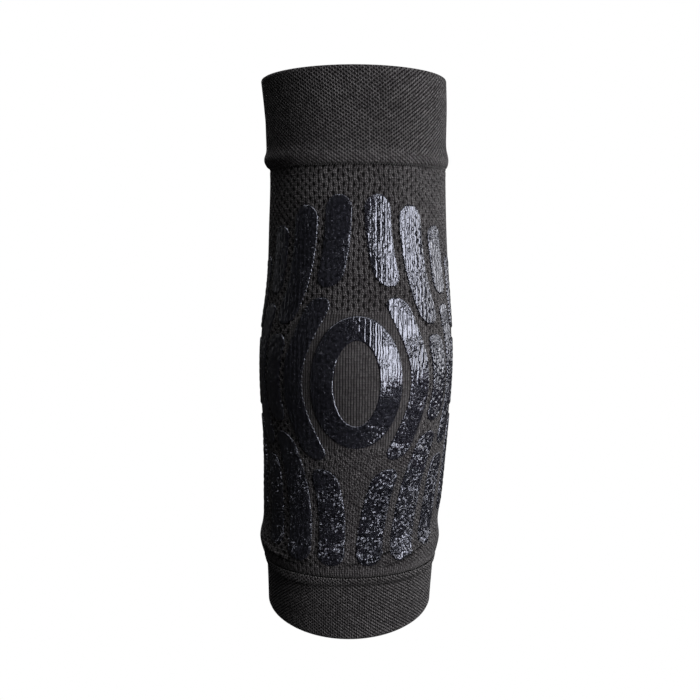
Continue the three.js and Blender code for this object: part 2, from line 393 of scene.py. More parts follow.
print("wale pitches in mm:", round(BODY_WALE, 3), round(CUFF_WALE, 3))

# %% [markdown]
# The knit's colour carries painted shade. Light is what is left after the gaps, the valleys between ribs, the
# rows and the shaded seams have each taken their share: the valleys, rows and seams are darkened as shade
# would fall in them, and the gaps partly so too. At the elbow the ribbed knit has no gaps, only dark lines
# between the legs of its loops.

# %% Shades of a knit
LOOSE_SPOTS = 0.7
VALLEY_EDGE = -0.4
FINE_GAP = {"From Min": -0.2, "From Max": 0.8, "To Max": 0.9}
RIBBED_LEG_SHADE = 0.7
RIBBED_ROWS = 0.5
ROW_DIP = 0.4
ROW_EDGE = -0.6
CLOSE_FROM = 0.6


def knit_inputs(tree):
    """The UV map and the fields that a knit's material reads, by name."""
    uv = add(tree, "ShaderNodeUVMap", uv_map="knit_mm")
    wale, course, _ = add(tree, "ShaderNodeSeparateXYZ", {0: uv}).outputs
    knit = {"uv": uv, "wale": wale, "course": course}
    for field in ("ribbed", "lean", "tight", "dark"):
        knit[field] = add(tree, "ShaderNodeAttribute", attribute_name=field).outputs["Fac"]
    for share, field in (("plain", "ribbed"), ("open", "tight")):
        knit[share] = add(tree, "ShaderNodeMath", {0: 1.0, 1: knit[field]}, operation="SUBTRACT")
    return knit


def gap_shades(tree, look, knit):
    """The shade of the gaps, of the finer gaps where the knit is tight, and of the valleys between ribs."""
    place = knit["wale"], knit["course"], knit["lean"]
    gaps = loop_gaps(tree, *place, look["wale"], look["course"])
    spots = add(tree, "ShaderNodeTexNoise", {"Vector": knit["uv"], "Scale": LOOSE_SPOTS, "Detail": 4.0},
                noise_dimensions="2D")
    loose = add(tree, "ShaderNodeMath", {0: spots, 1: look["loose"], 2: -look["loose"] / 2},
                operation="MULTIPLY_ADD")
    loose = add(tree, "ShaderNodeMath", {0: gaps, 1: loose}, operation="ADD")
    gap = add(tree, "ShaderNodeMapRange", {"Value": loose, **look["gap"]}, interpolation_type="SMOOTHSTEP")
    groove = turns(tree, knit["wale"], look["rib"], "COSINE")
    slit = add(tree, "ShaderNodeMapRange", {"Value": groove, **look["slit"]})
    gap = add(tree, "ShaderNodeMath", {0: gap, 1: slit}, operation="MULTIPLY")
    valley = add(tree, "ShaderNodeMapRange", {"Value": groove, "From Min": VALLEY_EDGE,
                                              "To Max": look["rib_shade"]})
    fine_gaps = loop_gaps(tree, *place, look["wale"] / 2, look["course"] / 2)
    fine = add(tree, "ShaderNodeMapRange", {"Value": fine_gaps, **FINE_GAP}, interpolation_type="SMOOTHSTEP")
    shades = []
    for shade, where in ((gap, "open"), (fine, "tight"), (valley, "open")):
        for share in (knit[where], knit["plain"]):
            shade = add(tree, "ShaderNodeMath", {0: shade, 1: share}, operation="MULTIPLY")
        shades.append(shade)
    return shades


def rib_shades(tree, look, knit):
    """The shade between the legs of the loops, between their rows, and of the close ribs at the elbow."""
    wale, ribbed = knit["wale"], knit["ribbed"]
    leg_shade = add(tree, "ShaderNodeMapRange", {"Value": ribbed, "To Min": look["leg_shade"],
                                                 "To Max": RIBBED_LEG_SHADE})
    legs = add(tree, "ShaderNodeMapRange", {"Value": turns(tree, wale, look["leg"], "COSINE"),
                                            "From Min": VALLEY_EDGE, "To Max": leg_shade})
    side = add(tree, "ShaderNodeMath", {0: turns(tree, wale, 2 * look["leg"], "SINE")}, operation="ABSOLUTE")
    vee = add(tree, "ShaderNodeMath", {0: side, 1: look["row"] * ROW_DIP, 2: knit["course"]},
              operation="MULTIPLY_ADD")
    row_shade = add(tree, "ShaderNodeMapRange", {"Value": ribbed, "To Min": look["row_shade"],
                                                 "To Max": look["row_shade"] * RIBBED_ROWS})
    row = add(tree, "ShaderNodeMapRange", {"Value": turns(tree, vee, look["row"], "COSINE"),
                                           "From Min": ROW_EDGE, "To Max": row_shade})
    close = add(tree, "ShaderNodeMapRange", {"Value": ribbed, "From Min": CLOSE_FROM,
                                             "To Max": look["close"]})
    return [legs, row, close]


# %% [markdown]
# Every stitch has its own tone, wide clouds vary the cloth as uneven dye does, and fine fibres are drawn a
# little coarser than real, because at their true 0.2 mm they would not show. The sum of the three noises is
# brought back to a middle of one half, and the same light and tone lift the bump.

# %% Charcoal knit
GAP_AND_SHADE = "#030203"
FIBRE_PITCH = 0.45
CLOUD = 22
NOISE_MIDDLE = 0.5
FIBRE_LIFT = 0.4
KNIT_BUMP = 0.9
KNIT_ROUGHNESS = {"To Min": 0.95, "To Max": 0.55}
KNIT_FINISH = {"Specular IOR Level": 0.1, "Sheen Weight": 0.09, "Sheen Roughness": 0.45}


def stitch_tones(tree, look, knit):
    """A random value for each stitch, and the yarn's tone, which has less spread where it is ribbed."""
    cell = add(tree, "ShaderNodeVectorMath", {0: knit["uv"], 1: (look["leg"], look["row"], 1)},
               operation="SNAP")
    stitch = add(tree, "ShaderNodeTexWhiteNoise", {"Vector": cell}, noise_dimensions="2D")
    tone = stitch
    for size, detail in ((FIBRE_PITCH, 2.0), (CLOUD, 3.0)):
        noise = add(tree, "ShaderNodeTexNoise", {"Vector": knit["uv"], "Scale": 1 / size, "Detail": detail},
                    noise_dimensions="2D")
        tone = add(tree, "ShaderNodeMath", {0: tone, 1: noise}, operation="ADD")
    tone = add(tree, "ShaderNodeMath", {0: tone, 1: 3 * NOISE_MIDDLE}, operation="SUBTRACT")
    spread = add(tree, "ShaderNodeMapRange", {"Value": knit["ribbed"], "To Min": look["tones"],
                                              "To Max": look["tones"] / 2})
    tone = add(tree, "ShaderNodeMath", {0: tone, 1: spread, 2: NOISE_MIDDLE}, operation="MULTIPLY_ADD",
               use_clamp=True)
    return stitch, tone


def charcoal_knit(name, look):
    material, tree, shader = material_tree(name)
    knit = knit_inputs(tree)
    # Painted shade: every share darkens the yarn towards the nearly black colour of the gaps.
    light = 1.0
    for shade in gap_shades(tree, look, knit) + rib_shades(tree, look, knit) + [knit["dark"]]:
        left = add(tree, "ShaderNodeMath", {0: 1.0, 1: shade}, operation="SUBTRACT", use_clamp=True)
        light = add(tree, "ShaderNodeMath", {0: light, 1: left}, operation="MULTIPLY")

    stitch, tone = stitch_tones(tree, look, knit)
    yarn = add(tree, "ShaderNodeMix", {"Factor": tone, "A": linear(look["yarn_shade"]),
                                       "B": linear(look["yarn"])}, data_type="RGBA")
    colour = add(tree, "ShaderNodeMix", {"Factor": light, "A": linear(GAP_AND_SHADE), "B": yarn.outputs["Result"]},
                 data_type="RGBA")
    height = add(tree, "ShaderNodeMath", {0: tone, 1: FIBRE_LIFT, 2: light}, operation="MULTIPLY_ADD")
    bump = add(tree, "ShaderNodeBump", {"Height": height, "Strength": KNIT_BUMP,
                                        "Distance": look["depth"] * MM})
    rough = add(tree, "ShaderNodeMapRange", {"Value": stitch, **KNIT_ROUGHNESS})
    join(tree, shader, {"Base Color": colour.outputs["Result"], "Normal": bump, "Roughness": rough,
                        **KNIT_FINISH})
    print(name, "nodes:", len(tree.nodes))
    return material


BODY_KNIT = charcoal_knit("charcoal_tuck_knit", BODY_LOOK)
CUFF_KNIT = charcoal_knit("charcoal_cuff_knit", CUFF_LOOK)

# %% [markdown]
# The grip is silicone ink, printed thick and cured. It is blue-black and glossy, and it sinks a little into
# the knit, so the ribs under it break its highlights into upright streaks. Lower down the print has crumbled:
# a Voronoi texture with torn edges cuts it into small facets, each tilted at random, which sparkle in
# patches. In a crease the facets are pressed flat and the colour is darkened with painted shade. Its IOR is
# that of a filled silicone, about 1.46.

# %% Printed silicone
SILICONE_DEEP = "#08080c"
SILICONE_PALE = "#27272e"
SILICONE_GLINT = "#e2e5f7"
SILICONE_FINISH = {"IOR": 1.46, "Specular IOR Level": 1.0}
SILICONE_ROUGHNESS = {"To Min": 0.06, "To Max": 0.16}
CRUMBLED_ROUGHNESS = 0.06
CRUMBLED_BELOW = {"From Min": -50.0, "From Max": -15.0, "To Min": 1.0, "To Max": 0.08}
WANDER = 4.5
CRUMB = 1.3
PATCH = 9
FACET = 0.85
FACET_RISE = 21.0
TORN = 1.1
BROKEN_PATCH = {"From Min": 0.42, "From Max": 0.66, "To Min": 0.28}
CRUMB_PATCH = {"From Min": 0.5, "From Max": 0.7, "To Min": 0.5, "To Max": 5.0}
CRUMB_CALM = 0.7
STREAK_PITCH = BODY_WALE / 4
STREAK_BEND = 1.2
STREAK_RISE = 0.35
PRINT_RELIEF = 0.09


def facet_slopes(tree, uv, crumbs):
    """Small facets with torn edges, each a slope in its own random direction."""
    torn = add(tree, "ShaderNodeVectorMath", {0: crumbs.outputs["Color"], 1: (TORN, TORN, 0), 2: uv},
               operation="MULTIPLY_ADD")
    facets = add(tree, "ShaderNodeTexVoronoi", {"Vector": torn, "Scale": 1 / FACET}, voronoi_dimensions="2D")
    tilt = add(tree, "ShaderNodeVectorMath", {0: facets.outputs["Color"], 1: (NOISE_MIDDLE,) * 3},
               operation="SUBTRACT")
    from_middle = add(tree, "ShaderNodeVectorMath", {0: torn, 1: facets.outputs["Position"]},
                      operation="SUBTRACT")
    slope = add(tree, "ShaderNodeVectorMath", {0: tilt, 1: from_middle}, operation="DOT_PRODUCT")
    return slope.outputs["Value"]


def printed_silicone():
    material, tree, shader = material_tree("printed_silicone")
    uv = add(tree, "ShaderNodeUVMap", uv_map="knit_mm")
    wale, course, _ = add(tree, "ShaderNodeSeparateXYZ", {0: uv}).outputs
    dark = add(tree, "ShaderNodeAttribute", attribute_name="dark").outputs["Fac"]
    lit = add(tree, "ShaderNodeMath", {0: 1.0, 1: dark}, operation="SUBTRACT", use_clamp=True)
    low = add(tree, "ShaderNodeMapRange", {"Value": course, **CRUMBLED_BELOW})
    wander, crumbs, patches = (
        add(tree, "ShaderNodeTexNoise", {"Vector": uv, "Scale": 1 / size, "Detail": detail},
            noise_dimensions="2D")
        for size, detail in ((WANDER, 2.0), (CRUMB, 2.0), (PATCH, 1.0))
    )
    gloss = add(tree, "ShaderNodeMapRange", {"Value": wander, **NOISE_RANGE, **SILICONE_ROUGHNESS})
    rough = add(tree, "ShaderNodeMath", {0: low, 1: CRUMBLED_ROUGHNESS, 2: gloss}, operation="MULTIPLY_ADD")

    crumbled = add(tree, "ShaderNodeMapRange", {"Value": patches, **BROKEN_PATCH})
    for share in (low, lit, facet_slopes(tree, uv, crumbs)):
        crumbled = add(tree, "ShaderNodeMath", {0: crumbled, 1: share}, operation="MULTIPLY")
    bent = add(tree, "ShaderNodeMath", {0: wander, 1: STREAK_BEND, 2: wale}, operation="MULTIPLY_ADD")
    streaks = turns(tree, bent, STREAK_PITCH, "COSINE")
    patchy = add(tree, "ShaderNodeMapRange", {"Value": patches, **CRUMB_PATCH})
    calm = add(tree, "ShaderNodeMath", {0: low, 1: -CRUMB_CALM, 2: 1.0}, operation="MULTIPLY_ADD")
    patchy = add(tree, "ShaderNodeMath", {0: patchy, 1: calm}, operation="MULTIPLY")
    height = add(tree, "ShaderNodeMath", {0: streaks, 1: STREAK_RISE}, operation="MULTIPLY")
    for part, rise in ((crumbs, patchy), (crumbled, FACET_RISE)):
        height = add(tree, "ShaderNodeMath", {0: part, 1: rise, 2: height}, operation="MULTIPLY_ADD")
    bump = add(tree, "ShaderNodeBump", {"Height": height, "Strength": 1.0, "Distance": PRINT_RELIEF * MM})

    # Painted shade: in a crease the tone goes to the deep colour.
    worn_and_crease_shade = add(tree, "ShaderNodeMapRange", {"Value": crumbs, **NOISE_RANGE, "To Max": lit})
    tone = add(tree, "ShaderNodeMix", {"Factor": worn_and_crease_shade, "A": linear(SILICONE_DEEP),
                                       "B": linear(SILICONE_PALE)}, data_type="RGBA")
    join(tree, shader, {"Base Color": tone.outputs["Result"], "Normal": bump, "Roughness": rough,
                        "Specular Tint": linear(SILICONE_GLINT), **SILICONE_FINISH})
    print("printed_silicone nodes:", len(tree.nodes))
    return material


SILICONE = printed_silicone()

# %% [markdown]
# Each knitted piece is a tube with a real wall. Its outer face is a fine grid, with several columns and rows
# to a gap, so that the relief has points to move. Its inner face only shows from the ends, so it is coarser.
# A cylinder with a Solidify modifier would have an even wall, but here it changes at every lap and roll, so
# the rings are laid out one by one. Uneven tension pulls the knit a little: a few waves of random size and
# place, from a fixed seed.

# %% Knitted tubes
BODY_WALL = 1.8
CUFF_WALL = 2.2
UPPER_RIM = 122
UPPER_SEAM = 84.4
UPPER_LAP = 5.2
LOWER_SEAM = -89.5
LOWER_LAP = 11
LOWER_RIM = -110
CLEARANCE = 0.3
INNER_STEP = 6
PULL_WAVES = 14
PULL_TURNS = 30
PULL_RATE = (0.15, 0.9)
WALE_SEED = 1
COURSE_SEED = 2
RIBBED_HOLD = 0.8
PLAIN_RIM = 1.2
RIM_FADE = 1.5


def stations_between(low, high, pitch):
    return np.linspace(low, high, max(2, round((high - low) / pitch) + 1))


def ring_list(stations, offsets):
    return list(zip(stations, np.broadcast_to(offsets, np.shape(stations))))


def up_to(station, top, fade):
    """1 below a height and 0 above it, with a fade between."""
    return np.clip((top - station) / fade, 0, 1)


def pulled(station, angle, seed):
    """How far uneven tension pulls the knit, in shares of its pull."""
    pick = np.random.default_rng(seed)
    pull = 0.0
    for _ in range(PULL_WAVES):
        turns_round = pick.integers(-PULL_TURNS, PULL_TURNS + 1)
        rate = pick.uniform(*PULL_RATE)
        start = pick.uniform(0, 2 * math.pi)
        pull = pull + np.sin(turns_round * angle + station * rate + start)
    return pull / math.sqrt(PULL_WAVES / 2)


def knit_tube(name, outer, inner, columns, pull, fields, dent, level_courses=False):
    """A tube from its outer rings, given from the bottom up, and its inner rings, given from the top down."""
    rings = np.array(outer + inner)
    angle = -math.pi + 2 * math.pi * np.arange(columns) / columns
    station, out = rings[:, :1], rings[:, 1:]
    shape = (len(rings), columns)
    height = drawn_height(station, angle) if level_courses else np.broadcast_to(station, shape)
    values = {label: field(station, angle) for label, field in fields.items()}
    slack = pull * (1 - RIBBED_HOLD * values["ribbed"])
    values["wale"] = angle * CLOTH_RADIUS + slack * pulled(station, angle, WALE_SEED)
    values["course"] = height + slack * pulled(station, angle, COURSE_SEED)
    outside = np.where(np.arange(len(rings)) < len(outer), 1.0, 0.0)[:, None]
    from_rim = np.minimum(UPPER_RIM - station, station - LOWER_RIM)
    values["cover"] = outside * np.clip((from_rim - PLAIN_RIM) / RIM_FADE, 0, 1)
    points = on_sleeve(station, angle, out - outside * dent(station, angle))
    return grid_piece(name, points, values, ring_rows=True)


print("length of the sleeve:", UPPER_RIM - LOWER_RIM, "mm")

# %% [markdown]
# Over the point of the elbow the body is knitted as fine upright ribs, which stretch more. The zone is a
# square with round corners. A narrow band of the same ribs finishes the body's lower edge. Above the elbow
# the loops are open, and below it they are finer and slant. Both change from the left side, -1, to the right
# side, 1, so short tables give them by the sine of the angle. The gaps open wider and darker towards the left
# side partly as painted shade, because the light leaves that side dark.

# %% The body's zones
RIB_ZONE = {"half_width": 31, "half_height": 27, "middle": -1, "squareness": 5, "edge": 1.15, "fade": 0.3}
RIB_BAND = {"top": 4.1, "share": 0.6}
FINE_KNIT_TOP = -25
FINE_KNIT_FADE = 6
LEAN_ABOVE = ([-1, -0.3, 0.2, 0.6, 1], [0.15, 0.05, 0, -0.55, -0.8])
LEAN_BELOW = ([-1, 1], [0.25, 0.65])
# Partly painted shade: the gaps open wider and darker on the left, where the light falls off.
TIGHT_AND_SIDE_SHADE_ABOVE = ([-0.9, -0.3, 0.4, 0.8], [-0.7, -0.1, 0, 0.15])
TIGHT_AND_SIDE_SHADE_BELOW = ([-0.9, -0.5, 0, 0.5], [-0.5, 0, 0.7, 0.85])


def ribbed_zone(station, angle):
    across = np.abs(angle * CLOTH_RADIUS / RIB_ZONE["half_width"])
    along = np.abs((station - RIB_ZONE["middle"]) / RIB_ZONE["half_height"])
    zone = up_to(across ** RIB_ZONE["squareness"] + along ** RIB_ZONE["squareness"],
                 RIB_ZONE["edge"], RIB_ZONE["fade"])
    return np.maximum(zone, RIB_BAND["share"] * up_to(station, LOWER_SEAM + RIB_BAND["top"], 1))


def by_zone(station, angle, above, below):
    high, low = (np.interp(np.sin(angle), *table) for table in (above, below))
    return high + (low - high) * up_to(station, FINE_KNIT_TOP, FINE_KNIT_FADE)


def body_lean(station, angle):
    return by_zone(station, angle, LEAN_ABOVE, LEAN_BELOW)


def body_tight_and_side_shade(station, angle):
    return by_zone(station, angle, TIGHT_AND_SIDE_SHADE_ABOVE, TIGHT_AND_SIDE_SHADE_BELOW)


print("ribbed at the point of the elbow:", ribbed_zone(0, 0), "and beside it:", ribbed_zone(0, 1))

# %% [markdown]
# The cloth slackens into a few thin creases above the lower edge. Each runs between two angles and two
# stations, fades at both ends, and has a soft lip above it and a sharper one below. The edge itself is
# rolled, and the body dips into a groove where the upper cuff is linked on. The two tables for these give the
# distance above a seam, and how far out of the sleeve's form.

# %% Creases and rolled edges
CREASES = (
    {"angles": (-6, 46), "stations": (-84.2, -71.5), "curve": 1.6},
    {"angles": (20, 64), "stations": (-85.8, -75.5), "curve": 1.2},
    {"angles": (-72, -38), "stations": (-82, -85.5), "curve": 0.8},
)
CREASE_DEPTH = 1.4
CREASE_WIDTH = 0.55
CREASE_FADE = 0.4
CREASE_LIPS = ({"above": 1.4, "rise": 0.6, "width": 1.1}, {"above": -1.0, "rise": 0.3, "width": 0.5})
CREASE_SHADE_WIDTH = 0.5
HEM_ROLL = np.array([
    (0, 0.3), (0.7, 0.75), (2.5, 1.2), (5, 1.6), (8, 1.75), (11, 1.25), (14, 0.5), (18, 0), (22, 0),
])
SEAM_DIP = np.array([
    (-4, 0), (-1.1, 0), (-0.5, -0.4), (-0.1, -0.75), (0.4, -0.6), (1.2, -0.1), (2, 0), (6, 0),
])
# Painted shade: the knit's colour darkens just under the upper seam, just above the lower one, and along each
# crease.
UPPER_SHADE = ([-1, -0.5, -0.1], [0, 0.4, 0.9])
LOWER_SHADE = ([0, 0.4, 0.9], [0.8, 0.4, 0])


def hem_roll(station):
    return smooth_curve(HEM_ROLL[:, 0], HEM_ROLL[:, 1], station - LOWER_SEAM)


def creased(station, angle, width):
    """How near a point is to the bottom of a crease, from 0 to 1."""
    near = 0.0
    for crease in CREASES:
        start, end = (math.radians(x) for x in crease["angles"])
        along = np.clip((angle - start) / (end - start), 0, 1)
        low, high = crease["stations"]
        line = low + (high - low) * along ** crease["curve"]
        fade = np.sin(math.pi * along) ** CREASE_FADE
        near = np.maximum(near, fade * np.exp(-(((station - line) / width) ** 2)))
    return near


def crease_dent(station, angle):
    dent = creased(station, angle, CREASE_WIDTH)
    for lip in CREASE_LIPS:
        dent = dent - lip["rise"] * creased(station - lip["above"], angle, lip["width"])
    return CREASE_DEPTH * dent


def body_painted_shade(station, angle):
    seams = np.maximum(np.interp(station - UPPER_SEAM, *UPPER_SHADE),
                       np.interp(station - LOWER_SEAM, *LOWER_SHADE))
    return np.maximum(seams, creased(station, angle, CREASE_SHADE_WIDTH))


print("the lower edge rolls out by", HEM_ROLL[:, 1].max(), "mm")

# %% [markdown]
# The main tube has more rows near its rolled end, where the creases are thin. Its inner face stops at the
# lower cuff's lap and then follows the cuff down inside the roll.

# %% The main tube
FINE_HEM = 16
FINE_ROWS = 8
BODY_ROWS = 4
BODY_COLUMNS = round(GIRTH / BODY_WALE) * 6
BODY_PULL = 0.2
BODY_LIP = ([LOWER_LAP, 5, 0], [-0.2, -0.2, -0.4])
BODY_RELIEF = {"Wale pitch": BODY_WALE, "Course pitch": BODY_COURSE, "Gap depth": 0.55, "Loop swing": 0.3,
               "Material": BODY_KNIT}


def sleeve_body():
    top = UPPER_SEAM + UPPER_LAP - CLEARANCE
    fine = stations_between(LOWER_SEAM, LOWER_SEAM + FINE_HEM, BODY_COURSE / FINE_ROWS)
    up = np.concatenate([fine, stations_between(fine[-1], top, BODY_COURSE / BODY_ROWS)[1:]])
    out = hem_roll(up) + smooth_curve(SEAM_DIP[:, 0], SEAM_DIP[:, 1], up - UPPER_SEAM)
    inner = ring_list(stations_between(LOWER_SEAM + LOWER_LAP, top, INNER_STEP)[::-1], -BODY_WALL)
    inner += ring_list(LOWER_SEAM + np.array(BODY_LIP[0]), BODY_LIP[1])
    fields = {"ribbed": ribbed_zone, "lean": body_lean, "tight": body_tight_and_side_shade, "dark": body_painted_shade}
    tube = knit_tube("sleeve_body_knit", ring_list(up, out), inner, BODY_COLUMNS, BODY_PULL, fields,
                     crease_dent)
    return run_tree(tube, KNIT_RELIEF, **BODY_RELIEF)


BODY = sleeve_body()

# %% [markdown]
# The cuffs are a closer knit with small round gaps in a staggered grain, which leans into slanting lines
# where the cloth is pulled round. The upper cuff ends in a rolled ridge that covers the body's top.
# The ridge is rounder at the sides than on the front and fuller on the left. Its knit is drawn closer, with
# fewer dark gaps, which partly paints light on the ridge where it bulges out.

# %% Upper cuff
SIDES = ("front", "left", "right")
CUFF_RIDGE = np.array([
    (-20, -0.2, -0.2, -0.2),
    (0, -0.2, -0.2, -0.2),
    (0.15, 0.6, 0.4, 0.2),
    (0.45, 0.95, 0.85, 0.5),
    (0.9, 1.12, 1.3, 0.75),
    (1.8, 1.22, 1.85, 1.05),
    (2.7, 1.25, 2.2, 1.2),
    (3.6, 1.2, 2.3, 1.25),
    (4.5, 1.1, 2.2, 1.15),
    (5.4, 0.9, 1.9, 1),
    (6.3, 0.65, 1.5, 0.75),
    (7.2, 0.4, 1.2, 0.5),
    (8.2, 0.2, 1, 0.3),
    (10, 0, 0.85, 0.1),
    (14, 0, 0.55, 0),
    (22, 0, 0, 0),
    (60, 0, 0, 0),
])
RIDGE_EDGE = {"height": 1.2, "step": 0.15}
RIDGE_LIP = ([UPPER_LAP, 2, 0.6, -0.1], [0.3, 0.3, 0, -0.55])
RIDGE_CLOSE_AND_LIGHT = {"top": 6, "fade": 2.5, "share": 0.3}
RIDGE_LEAN = {"top": 4.5, "fade": 2, "lean": 0.75}
# Painted shade under the rolled ridge, just above the seam.
RIDGE_SHADE = ([0.05, 0.2, 0.4], [0.9, 0.4, 0])
CUFF_LEAN = ([-1, 0, 0.25, 0.6, 0.9], [0.25, 0.15, 0, -0.5, -0.8])
RIM_TURN = np.array([(-0.9, 0), (-0.3, -0.3), (0, -0.8)])
CUFF_PULL = 0.04
CUFF_ROWS = 4
CUFF_COLUMNS = round(GIRTH / CUFF_WALE) * 4
CUFF_RELIEF = {"Wale pitch": CUFF_WALE, "Course pitch": CUFF_COURSE, "Gap depth": 0.35, "Loop swing": 0.06,
               "Unevenness": 0.3, "Material": CUFF_KNIT}


def on_sides(table, above):
    """The front, left and right columns of a table, read at a distance above a seam."""
    return (smooth_curve(table[:, 0], table[:, 1 + column], above) for column in range(len(SIDES)))


def no_ribs(station, angle):
    return np.zeros_like(station)


# Partly painted light: the closer knit's fewer dark gaps make the ridge lighter.
def ridge_ribs_and_light(station, angle):
    ridge = up_to(station, UPPER_SEAM + RIDGE_CLOSE_AND_LIGHT["top"], RIDGE_CLOSE_AND_LIGHT["fade"])
    return RIDGE_CLOSE_AND_LIGHT["share"] * ridge


def upper_cuff_lean(station, angle):
    lean = np.interp(np.sin(angle), *CUFF_LEAN)
    ridge = up_to(station, UPPER_SEAM + RIDGE_LEAN["top"], RIDGE_LEAN["fade"])
    return lean + (RIDGE_LEAN["lean"] - lean) * ridge


def upper_cuff_painted_shade(station, angle):
    return np.interp(station - UPPER_SEAM, *RIDGE_SHADE)


def upper_cuff_ridge(station, angle):
    front, left, right = on_sides(CUFF_RIDGE, station - UPPER_SEAM)
    share = np.sin(angle) ** 2
    return -(front * (1 - share) + np.where(angle < 0, left, right) * share)


def upper_cuff():
    fine = stations_between(UPPER_SEAM, UPPER_SEAM + RIDGE_EDGE["height"], RIDGE_EDGE["step"])
    rest = stations_between(fine[-1], UPPER_RIM + RIM_TURN[0, 0], CUFF_COURSE / CUFF_ROWS)[1:]
    outer = ring_list(np.concatenate([fine, rest]), 0)
    outer += ring_list(UPPER_RIM + RIM_TURN[1:, 0], RIM_TURN[1:, 1])
    inner = ring_list(UPPER_RIM + RIM_TURN[::-1, 0], -CUFF_WALL - RIM_TURN[::-1, 1])
    down = stations_between(UPPER_SEAM + UPPER_LAP, UPPER_RIM - INNER_STEP, INNER_STEP)[::-1]
    inner += ring_list(down, -CUFF_WALL)
    inner += ring_list(UPPER_SEAM + np.array(RIDGE_LIP[0]), RIDGE_LIP[1])
    fields = {"ribbed": ridge_ribs_and_light, "lean": upper_cuff_lean, "dark": upper_cuff_painted_shade}
    tube = knit_tube("upper_cuff_knit", outer, inner, CUFF_COLUMNS, CUFF_PULL, fields, upper_cuff_ridge)
    return run_tree(tube, KNIT_RELIEF, **CUFF_RELIEF)


UPPER_CUFF = upper_cuff()

# %% [markdown]
# The lower cuff comes out from inside the body's rolled end and folds once under a row of stitches. The fold
# is fuller where the cloth bunches, at the left and at the right of the front. The cuff hangs level, so its
# fold and its courses follow the height and not the station.

# %% Lower cuff
CUFF_FOLD = np.array([
    (-40, 0, 0, 0),
    (-7.5, 0, 0, 0),
    (-6.4, 0, -0.1, 0),
    (-5.3, -0.05, -0.35, -0.05),
    (-4.7, -0.2, 0.4, -0.3),
    (-4.3, -0.4, 1, -0.5),
    (-3.7, 0, 1.5, 0.1),
    (-2.8, 0.5, 1.65, 0.8),
    (-1.8, 0.7, 1.3, 1.1),
    (-0.9, 0.5, 0.7, 0.7),
    (-0.3, -0.3, -0.3, -0.3),
    (1, -0.7, -0.7, -0.7),
    (40, -0.7, -0.7, -0.7),
])
BUNCH_SPREAD = 0.42
LEFT_BUNCH = -0.7
RIGHT_BUNCH = 0.8
LEFT_BUNCH_DROP = 1.1
# Painted shade: FOLD_SHADE darkens the crease under the fold, STITCH_SHADE the cloth next to the seam, and
# LEFT_BUNCH_LIGHT takes part of the crease's shade away where the fold bunches on the left.
LEFT_BUNCH_LIGHT = 0.4
FOLD_SHADE = ([-5, -4.3, -3.8, -2.4], [0, 0.7, 0.4, 0])
STITCH_SHADE = ([-1.4, -0.9, -0.4], [0, 0.1, 0.9])
FOLD_LEAN = {"middle": 0.45, "change": 0.9, "least": -0.4, "most": 0.9}
FOLD_ROWS = 7
TUCK = 0.3


def lower_cuff_lean(station, angle):
    lean = FOLD_LEAN["middle"] + FOLD_LEAN["change"] * np.sin(angle)
    return np.clip(lean, FOLD_LEAN["least"], FOLD_LEAN["most"])


def above_lower_seam(station, angle):
    return drawn_height(station, angle) - drawn_height(LOWER_SEAM, angle)


def bunched(angle, middle):
    return np.exp(-(((angle - middle) / BUNCH_SPREAD) ** 2))


def lower_cuff_painted_shade(station, angle):
    above = above_lower_seam(station, angle)
    at_left = bunched(angle, LEFT_BUNCH)
    crease = np.interp(above + LEFT_BUNCH_DROP * at_left, *FOLD_SHADE)
    return np.maximum(crease * (1 - LEFT_BUNCH_LIGHT * at_left), np.interp(above, *STITCH_SHADE))


def lower_cuff_fold(station, angle):
    front, left, right = on_sides(CUFF_FOLD, above_lower_seam(station, angle))
    at_left, at_right = bunched(angle, LEFT_BUNCH), bunched(angle, RIGHT_BUNCH)
    return -(front + (left - front) * at_left + (right - front) * at_right)


def lower_cuff():
    top = LOWER_SEAM + LOWER_LAP - CLEARANCE
    up = stations_between(LOWER_RIM - RIM_TURN[0, 0], top, CUFF_COURSE / FOLD_ROWS)
    outer = ring_list(LOWER_RIM - RIM_TURN[:0:-1, 0], RIM_TURN[:0:-1, 1]) + ring_list(up, 0)
    inner = ring_list(stations_between(LOWER_RIM + INNER_STEP, top, INNER_STEP)[::-1], -CUFF_WALL - TUCK)
    inner += ring_list(LOWER_RIM - RIM_TURN[:, 0], -CUFF_WALL - RIM_TURN[:, 1])
    fields = {"ribbed": no_ribs, "lean": lower_cuff_lean, "dark": lower_cuff_painted_shade}
    tube = knit_tube("lower_cuff_knit", outer, inner, CUFF_COLUMNS, CUFF_PULL, fields, lower_cuff_fold,
                     level_courses=True)
    return run_tree(tube, KNIT_RELIEF, **CUFF_RELIEF)


LOWER_CUFF = lower_cuff()

# %% [markdown]
# The cuffs are linked to the body with a thicker thread, and its stitches show as a row of dots along the
# lower seam and as short slanting loops in the groove of the upper one. The thread is spun polyester, matt
# with a little sheen, and its twist shows as a fine change of tone.

# %% Thread
THREAD = "#555254"
THREAD_SHADE = "#333132"
THREAD_TWIST = 0.5 * MM
THREAD_RELIEF = 0.1 * MM
THREAD_BUMP = 0.6
THREAD_FINISH = {"Roughness": 0.6, "Sheen Weight": 0.2}


def polyester_thread():
    material, tree, shader = material_tree("polyester_thread")
    place = add(tree, "ShaderNodeTexCoord").outputs["Object"]
    twist = add(tree, "ShaderNodeTexNoise", {"Vector": place, "Scale": 1 / THREAD_TWIST, "Detail": 2.0})
    tone = add(tree, "ShaderNodeMix", {"Factor": twist, "A": linear(THREAD_SHADE), "B": linear(THREAD)},
               data_type="RGBA")
    bump = add(tree, "ShaderNodeBump", {"Height": twist, "Strength": THREAD_BUMP, "Distance": THREAD_RELIEF})
    join(tree, shader, {"Base Color": tone.outputs["Result"], "Normal": bump, **THREAD_FINISH})
    print("polyester_thread nodes:", len(tree.nodes))
    return material


